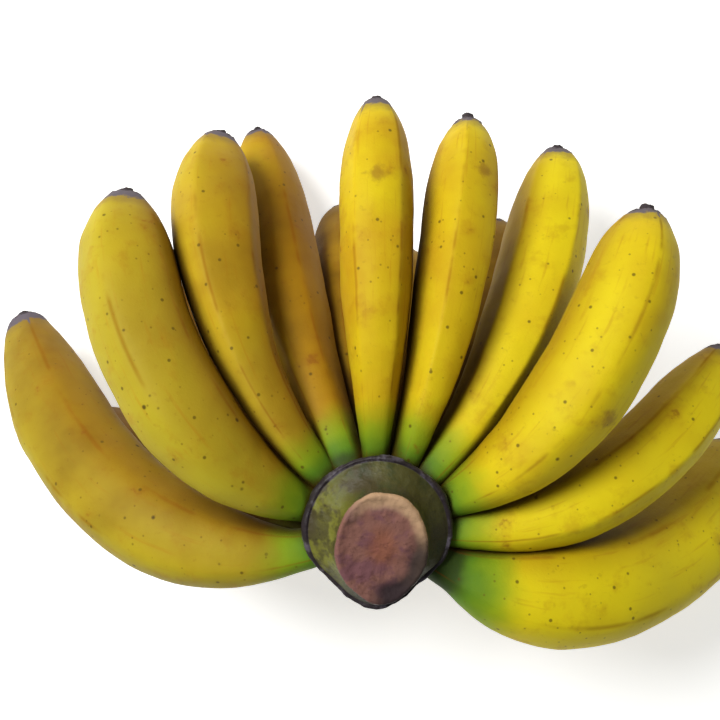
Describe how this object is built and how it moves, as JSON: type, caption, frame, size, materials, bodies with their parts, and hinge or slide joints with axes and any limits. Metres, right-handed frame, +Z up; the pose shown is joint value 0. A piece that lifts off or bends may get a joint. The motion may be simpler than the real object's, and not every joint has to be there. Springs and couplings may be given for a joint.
{
  "type": "hand of bananas",
  "caption": "Hand of plump ripe bananas fanned in two rows round a short cut stalk, lying on its finger tips with the cut end facing up.",
  "frame": {"origin": "middle of the bounding box at the level of the surface that the hand lies on", "axes": "+Z up, out of the upper cut end of the stalk; +X across the fan of fingers, the longest way; +Y from the stalk to the tips of the middle fingers"},
  "size_m": [0.3582, 0.2326, 0.1515],
  "materials": {
    "peel": "waxy satin yellow peel, green at the neck",
    "stalk": "dull olive brown stalk skin with a dried cut face"
  },
  "bodies": {
    "root": {"crown_stalk": "stalk", "front_finger_01": "peel", "front_finger_02": "peel", "front_finger_03": "peel", "front_finger_04": "peel", "front_finger_05": "peel", "front_finger_06": "peel", "front_finger_07": "peel", "front_finger_08": "peel", "front_finger_09": "peel", "front_finger_10": "peel", "back_finger_01": "peel", "back_finger_02": "peel", "back_finger_03": "peel", "back_finger_04": "peel", "back_finger_05": "peel", "back_finger_06": "peel", "back_finger_07": "peel", "back_finger_08": "peel"}
  },
  "joints": []
}
